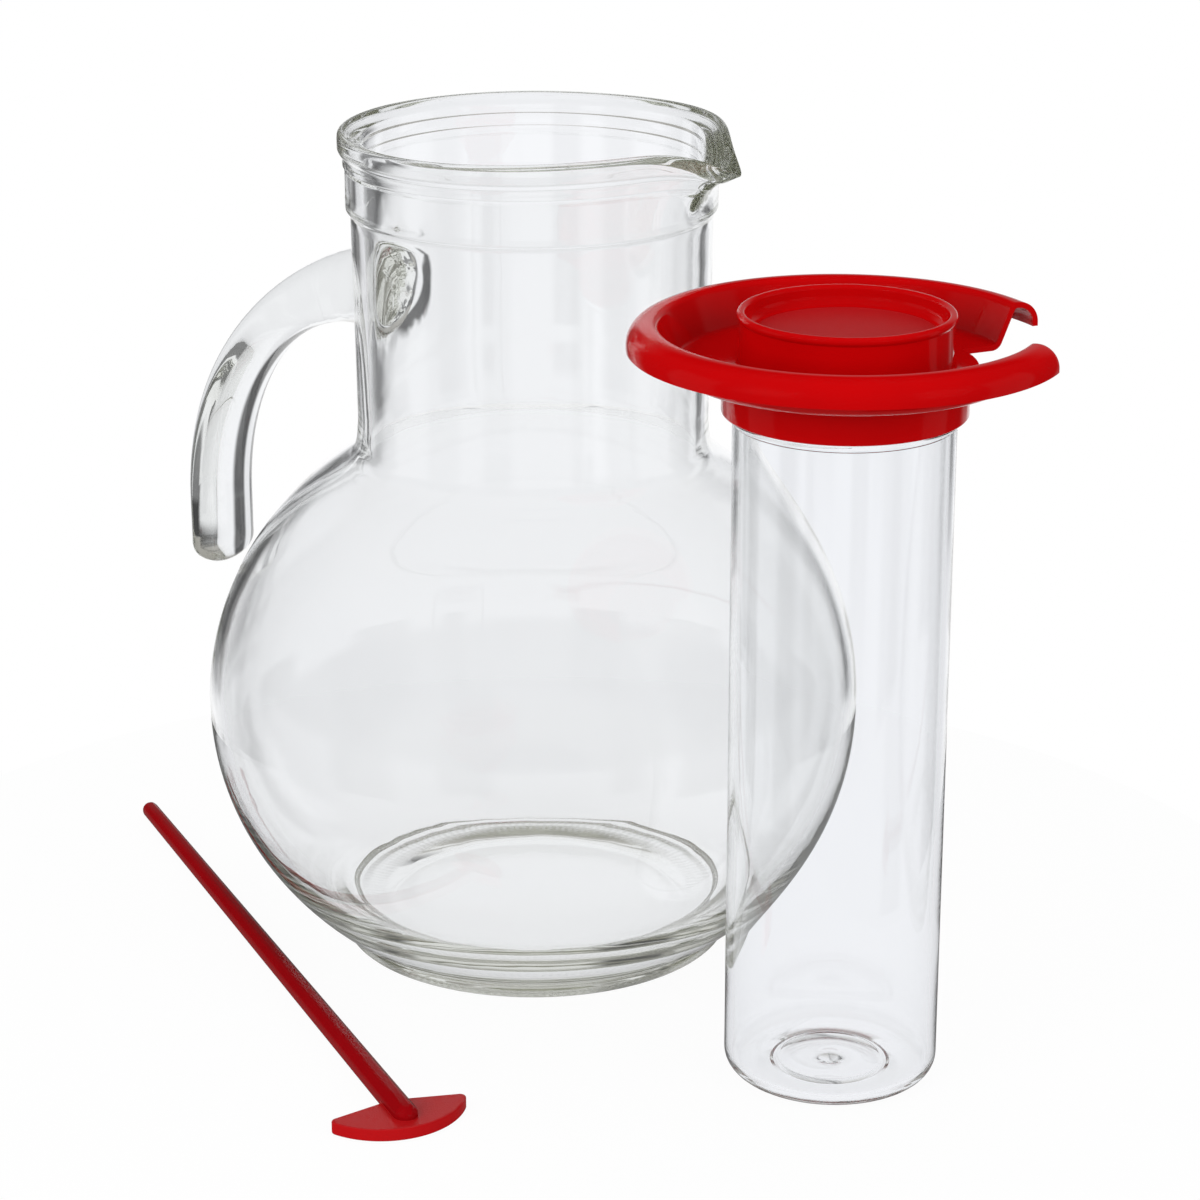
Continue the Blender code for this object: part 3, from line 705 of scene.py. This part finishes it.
bore = TUBE_RADIUS - TUBE_WALL
corner = TUBE_CORNER - TUBE_WALL
profile = []
for k in range(GATE_STEPS + 1):
    dome = GATE_HEIGHT * math.cos(math.pi * k / (2 * GATE_STEPS)) ** 2
    profile.append((GATE_RADIUS * k / GATE_STEPS, TUBE_FLOOR + dome))
profile += arc((FLOOR_BEAD_PLACE, TUBE_FLOOR - FLOOR_BEAD_SINK), FLOOR_BEAD, 130, 50, 4)
profile += arc((bore - corner, TUBE_FLOOR + corner), corner, -90, 0, 8)
profile += [(bore, TUBE_LENGTH - TUBE_EDGE), (bore + TUBE_EDGE, TUBE_LENGTH)]
profile += [(TUBE_RADIUS - TUBE_EDGE, TUBE_LENGTH), (TUBE_RADIUS, TUBE_LENGTH - TUBE_EDGE)]
profile += arc((TUBE_RADIUS - STOP_BEAD_SINK, STOP_BEAD_HEIGHT), STOP_BEAD, 50, -50, 6)
profile += arc((TUBE_RADIUS - TUBE_CORNER, TUBE_CORNER), TUBE_CORNER, 0, -90, 10)
profile += [(TUBE_FOOT + outwards, height) for outwards, height in TUBE_FOOT_EDGES]
profile += [(0.0, profile[-1][1])]
tube = turned("ice_tube_clear", profile, TUBE_STEPS)
stand_at(tube, INSERT_AXIS)
bpy.ops.object.shade_smooth_by_angle(angle=SMOOTH_ANGLE)

clear, place = finish(tube, "clear_moulded_plastic", CLEAR_IOR)
clear["Base Color"].default_value = CLEAR_TINT
clear["Transmission Weight"].default_value = 1.0
(noise(place, HAZE_SCALE, 5.0).step(*HAZE_EDGE) * HAZE_ROUGHNESS).to(clear["Roughness"])
flow = noise(place, CLEAR_FLOW_SCALE, 1.0)
relief(flow, CLEAR_FLOW_STRENGTH, CLEAR_FLOW_HEIGHT).to(clear["Normal"])
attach(tube, "insert")
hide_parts("ice_tube")

# The lid is one moulding of red plastic: a hollow rim that drops over the jug's lip, a sloped dish with
# a notch cut out for pouring, a grip cup with a grained floor, and the screw collar underneath.
LID_STEPS = 200
LID_LEVEL = TUBE_LENGTH + 0.0003
LID_WALL = 0.0014
LID_RADIUS = 0.0524
LID_RIM_WIDTH = 0.0081
LID_RIM_RISE = 0.0100
LID_SKIRT = 0.0064
LID_OUTER_ROUND = 0.0055
LID_INNER_ROUND = 0.0022
LID_BEVEL = 0.0003
LID_BEVEL_ANGLE = math.radians(50.0)
LID_SMOOTH_ANGLE = math.radians(35.0)
DISH_SLOPE = 20.0
DISH_CORNER = 0.0015
CUP_RADIUS = 0.0256
CUP_HEIGHT = 0.0130
CUP_RECESS = 0.0048
CUP_BEAD = 0.0022
CUP_OVERHANG = 0.0006
CUP_CORNER = 0.0026
CUP_FOOT_FILLET = 0.0008
SCREW_COLLAR_BORE = 0.0271
SCREW_COLLAR_RADIUS = 0.0296
SCREW_COLLAR_DEPTH = 0.0104
SCREW_COLLAR_EDGE = 0.0005
SCREW_BORE_EDGE = 0.0004
NOTCH_ANGLE = math.radians(48.0)
NOTCH_NEAR = 0.0315
NOTCH_OVERRUN = 0.010
NOTCH_HEIGHT = 0.030
NOTCH_LEVEL = 0.005
NOTCH_STEPS = 24
RED_IOR = 1.46
LID_SHINE = 0.35
LID_RED = (0.54, 0.0012, 0.0020, 1.0)
LID_DEEP_RED = (0.50, 0.0010, 0.0018, 1.0)
# The red of the grained cup floor is darker and pinker than the lid's, and its pink is painted sheen.
LID_GRAIN_SHEEN_RED = (0.46, 0.008, 0.010, 1.0)
LID_GRAIN_SCALE = 2600.0
LID_FLOW_SCALE = 45.0
LID_FLOW_EDGE = (0.3, 0.7)
LID_ROUGHNESS = 0.07
LID_FLOW_ROUGHNESS = 0.04
LID_GRAIN_ROUGHNESS = 0.30
LID_BUMP_STRENGTH = 0.5
GRAIN_HEIGHT = 0.0003
GLOSS_WAVE = 0.05


def parallel(path, distance):
    """A path moved to its right by one distance, kept parallel at its corners."""
    moved = []
    for i, point in enumerate(path):
        here = Vector(point)
        come = (here - Vector(path[max(i - 1, 0)])) if i else (Vector(path[1]) - here)
        go = (Vector(path[i + 1]) - here) if i + 1 < len(path) else come
        come.normalize()
        go.normalize()
        side = Vector((come.y + go.y, -come.x - go.x)).normalized()
        moved.append(tuple(here + side * distance / side.dot(Vector((come.y, -come.x)))))
    return moved


rim_top = LID_WALL + LID_RIM_RISE
crest = (LID_RADIUS - LID_RIM_WIDTH + LID_INNER_ROUND, rim_top - LID_INNER_ROUND)
rim = arc(crest, LID_INNER_ROUND, 180 - DISH_SLOPE, 90, 8)
wall_foot = rim[0][0] - (rim[0][1] - LID_WALL) * math.tan(math.radians(DISH_SLOPE))
fillet = arc((wall_foot - DISH_CORNER, LID_WALL + DISH_CORNER), DISH_CORNER, -90, -DISH_SLOPE, 6)
outer_middle = (LID_RADIUS - LID_OUTER_ROUND, rim_top - LID_OUTER_ROUND)
rim = fillet + rim + arc(outer_middle, LID_OUTER_ROUND, 90, 0, 14)
rim += [(LID_RADIUS, rim_top - LID_SKIRT)]
bead = CUP_BEAD / 2
bead_middle = (CUP_RADIUS + CUP_OVERHANG - bead, LID_WALL + CUP_HEIGHT - bead)
cup_inner = bead_middle[0] - bead
cup_under = CUP_RADIUS - LID_WALL
grain_floor = LID_WALL + CUP_HEIGHT - CUP_RECESS
profile = [(0.0, grain_floor)]
profile += arc((cup_inner - CUP_CORNER, grain_floor + CUP_CORNER), CUP_CORNER, -90, 0, 9)
profile += arc(bead_middle, bead, 180, -30, 16)
profile += [(CUP_RADIUS, LID_WALL + CUP_HEIGHT - CUP_BEAD)]
profile += arc((CUP_RADIUS + CUP_FOOT_FILLET, LID_WALL + CUP_FOOT_FILLET), CUP_FOOT_FILLET, 180, 270, 5)
profile += rim + parallel(rim, LID_WALL)[::-1]
profile += [(SCREW_COLLAR_RADIUS + SCREW_COLLAR_EDGE, 0.0), (SCREW_COLLAR_RADIUS, -SCREW_COLLAR_EDGE)]
edge_middle = (SCREW_COLLAR_RADIUS - SCREW_COLLAR_EDGE, SCREW_COLLAR_EDGE - SCREW_COLLAR_DEPTH)
profile += arc(edge_middle, SCREW_COLLAR_EDGE, 0, -90, 4)
edge_middle = (SCREW_COLLAR_BORE + SCREW_BORE_EDGE, SCREW_BORE_EDGE - SCREW_COLLAR_DEPTH)
profile += arc(edge_middle, SCREW_BORE_EDGE, -90, -180, 3)
profile += [(SCREW_COLLAR_BORE, 0.0), (cup_under, 0.0)]
profile += [(cup_under, grain_floor - LID_WALL), (0.0, grain_floor - LID_WALL)]
lid = turned("lid_red", profile, LID_STEPS)

notch_far = LID_RADIUS + NOTCH_OVERRUN
bpy.ops.object.select_all(action="DESELECT")
bpy.ops.mesh.primitive_plane_add(size=1.0, location=(0.0, 0.0, 0.0), rotation=(math.pi / 2, 0.0, 0.0))
notch = bpy.context.object
bpy.ops.object.transform_apply(location=True, rotation=True, scale=True)
bpy.ops.object.mode_set(mode="EDIT")
bpy.ops.mesh.select_all(action="SELECT")
bpy.ops.transform.resize(value=(notch_far - NOTCH_NEAR, 1.0, NOTCH_HEIGHT))
bpy.ops.transform.translate(value=((NOTCH_NEAR + notch_far) / 2, 0.0, NOTCH_LEVEL))
bpy.ops.transform.rotate(
    value=-NOTCH_ANGLE / 2, orient_axis="Z", center_override=(0.0, 0.0, 0.0), orient_type="GLOBAL"
)
spin_shut(NOTCH_STEPS, NOTCH_ANGLE)
combine(lid, notch, "DIFFERENCE")
use_modifier(lid, "BEVEL", width=LID_BEVEL, segments=3, limit_method="ANGLE", angle_limit=LID_BEVEL_ANGLE)
stand_at(lid, INSERT_AXIS + Vector((0.0, 0.0, LID_LEVEL)))
bpy.ops.object.shade_smooth_by_angle(angle=LID_SMOOTH_ANGLE)

floor_reach = cup_inner - CUP_CORNER
floor_level = LID_LEVEL + grain_floor
red, place = finish(lid, "red_gloss_moulding", RED_IOR)
red["Specular IOR Level"].default_value = LID_SHINE
east, north, height = place.split()
reach = off_axis(east - INSERT_AXIS.x, north - INSERT_AXIS.y)
within_cup = 1.0 - reach.step(floor_reach - 0.0004, floor_reach + 0.0006)
on_floor = within_cup * height.step(floor_level - 0.0004, floor_level - 0.0002)
grain = noise(place, LID_GRAIN_SCALE, 2.0)
flow = noise(place, LID_FLOW_SCALE, 3.0)
marbled = between(flow.step(*LID_FLOW_EDGE), LID_RED, LID_DEEP_RED)
# The grained cup floor takes a darker, pinker red than the rest of the lid: the pink in it is painted
# sheen.
between(on_floor, marbled, LID_GRAIN_SHEEN_RED).to(red["Base Color"])
roughness = on_floor * LID_GRAIN_ROUGHNESS + flow * LID_FLOW_ROUGHNESS + LID_ROUGHNESS
roughness.to(red["Roughness"])
texture = on_floor * grain + (1.0 - on_floor) * flow * GLOSS_WAVE
relief(texture, LID_BUMP_STRENGTH, GRAIN_HEIGHT).to(red["Normal"])
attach(lid, "screw_lid")
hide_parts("lid")

# The stirrer is one moulding of red plastic that lies on the table: a half-moon paddle with a fine
# grained face, and an eight-sided rod that tapers to its far end and lies half sunk in the paddle.
STIRRER_PLACE = Vector((-0.036536, -0.088996, 0.0))
STIRRER_BEARING = math.radians(113.7)
STIRRER_SMOOTH_ANGLE = math.radians(9.0)
ROD_LENGTH = 0.2198
ROD_RADIUS = 0.0034
ROD_TIP_RADIUS = 0.0025
ROD_SIDES = 8
ROD_STEPS = 24
ROD_SETBACK = 0.0030
ROD_LIFT = 0.0004
ROD_BEVEL = 0.0006
ROD_BEVEL_ANGLE = math.radians(30.0)
PADDLE_WIDTH = 0.0368
PADDLE_DEPTH = 0.0157
PADDLE_SWEEP = 0.0042
PADDLE_THICKNESS = 0.0033
PADDLE_TIP_ROUND = 0.0016
PADDLE_BEVEL = 0.0004
PADDLE_BEVEL_ANGLE = math.radians(40.0)
# The rod's red is darker than the paddle's as painted shade on one plastic, and the pink in the paddle's
# red is painted sheen.
ROD_SHADED_RED = (0.27, 0.0015, 0.0035, 1.0)
PADDLE_SHEEN_RED = (0.46, 0.006, 0.008, 1.0)
STIRRER_SHINE = 0.08
PADDLE_COAT = 0.5
PADDLE_COAT_ROUGHNESS = 0.35
PADDLE_GRAIN_SCALE = 2400.0
STIRRER_FLOW_SCALE = 60.0
STIRRER_ROUGHNESS = 0.11
STIRRER_FLOW_ROUGHNESS = 0.05
PADDLE_GRAIN_ROUGHNESS = 0.26
STIRRER_BUMP_STRENGTH = 0.4

half = PADDLE_WIDTH / 2
bulge = PADDLE_DEPTH - PADDLE_SWEEP
paddle_round = (half * half + bulge * bulge) / (2 * bulge)
paddle_middle = Vector((paddle_round - PADDLE_DEPTH, 0.0))
far_edge = Vector((-PADDLE_SWEEP, half)).normalized()
inset = Vector((-far_edge.y, far_edge.x)) * PADDLE_TIP_ROUND - paddle_middle
run = inset.dot(far_edge)
run = math.sqrt(run * run + (paddle_round - PADDLE_TIP_ROUND) ** 2 - inset.length_squared) - run
tip_middle = paddle_middle + inset + far_edge * run
tip_start = math.degrees(math.atan2(-far_edge.x, far_edge.y))
tip_end = math.degrees(math.atan2(tip_middle.y - paddle_middle.y, tip_middle.x - paddle_middle.x))
outline = [(0.0, 0.0)] + arc(tip_middle, PADDLE_TIP_ROUND, tip_start, tip_end, 14)
outline += arc(paddle_middle, paddle_round, tip_end, 180.0, 24)[1:]
outline += [(x, -y) for x, y in reversed(outline[1:-1])]
stirrer = drawn("stirrer_red", [(x, y, 0.0) for x, y in outline])
bpy.ops.object.mode_set(mode="EDIT")
bpy.ops.mesh.select_all(action="SELECT")
bpy.ops.mesh.edge_face_add()
bpy.ops.mesh.extrude_region_move(TRANSFORM_OT_translate={"value": (0.0, 0.0, PADDLE_THICKNESS)})
bpy.ops.mesh.select_all(action="SELECT")
bpy.ops.mesh.normals_make_consistent(inside=False)
bpy.ops.object.mode_set(mode="OBJECT")
use_modifier(
    stirrer, "BEVEL", width=PADDLE_BEVEL, segments=3, limit_method="ANGLE", angle_limit=PADDLE_BEVEL_ANGLE
)

profile = arc((0.0, ROD_LENGTH - ROD_TIP_RADIUS), ROD_TIP_RADIUS, 90, 0, 6)
top, bottom = Vector(profile[-1]), Vector((ROD_RADIUS, ROD_RADIUS))
profile += [tuple(top.lerp(bottom, k / ROD_STEPS)) for k in range(1, ROD_STEPS)]
profile += arc((0.0, ROD_RADIUS), ROD_RADIUS, 0, -90, 6)
rod = turned("rod", profile, ROD_SIDES)
across_flats = math.cos(math.pi / ROD_SIDES)
rod_level = ROD_RADIUS * across_flats + ROD_LIFT
lean = math.asin((rod_level - ROD_TIP_RADIUS * across_flats) / ROD_LENGTH)
rod.rotation_euler.z = math.pi / ROD_SIDES
stand_at(rod, (0.0, 0.0, 0.0))
use_modifier(rod, "BEVEL", width=ROD_BEVEL, segments=3, limit_method="ANGLE", angle_limit=ROD_BEVEL_ANGLE)
rod.rotation_euler.y = math.pi / 2 + lean
rod.location = (ROD_SETBACK - PADDLE_DEPTH, 0.0, rod_level)
combine(stirrer, rod, "UNION")
stirrer.rotation_euler.z = STIRRER_BEARING
stand_at(stirrer, STIRRER_PLACE)
bpy.ops.object.shade_smooth_by_angle(angle=STIRRER_SMOOTH_ANGLE)

satin, place = finish(stirrer, "red_satin_moulding", RED_IOR)
satin["Specular IOR Level"].default_value = STIRRER_SHINE
satin["Coat Roughness"].default_value = PADDLE_COAT_ROUGHNESS
turn_back = Matrix.Rotation(-STIRRER_BEARING, 3, "Z")
shift, spin = -(turn_back @ STIRRER_PLACE), (0.0, 0.0, -STIRRER_BEARING)
sockets = {"Vector": place, "Location": shift, "Rotation": spin}
along, _, height = place.node("ShaderNodeMapping", {"vector_type": "POINT"}, sockets).split()
under_rod = 1.0 - height.step(PADDLE_THICKNESS + 0.0001, PADDLE_THICKNESS + 0.0003)
on_paddle = (1.0 - along.step(-0.0004, 0.0004)) * under_rod
on_face = on_paddle * height.step(PADDLE_THICKNESS - 0.0003, PADDLE_THICKNESS - 0.0001)
grain = noise(place, PADDLE_GRAIN_SCALE, 2.0)
flow = noise(place, STIRRER_FLOW_SCALE, 3.0)
# The rod and the paddle are one plastic: the rod's darker red is painted shade, and the pink in the
# paddle's red is painted sheen.
between(on_paddle * 0.9 + flow * 0.1, ROD_SHADED_RED, PADDLE_SHEEN_RED).to(satin["Base Color"])
roughness = on_face * PADDLE_GRAIN_ROUGHNESS + flow * STIRRER_FLOW_ROUGHNESS + STIRRER_ROUGHNESS
roughness.to(satin["Roughness"])
(on_face * PADDLE_COAT).to(satin["Coat Weight"])
texture = on_face * grain + (1.0 - on_face) * flow * GLOSS_WAVE
relief(texture, STIRRER_BUMP_STRENGTH, GRAIN_HEIGHT).to(satin["Normal"])
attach(stirrer, "stir_rod")
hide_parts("stirrer")
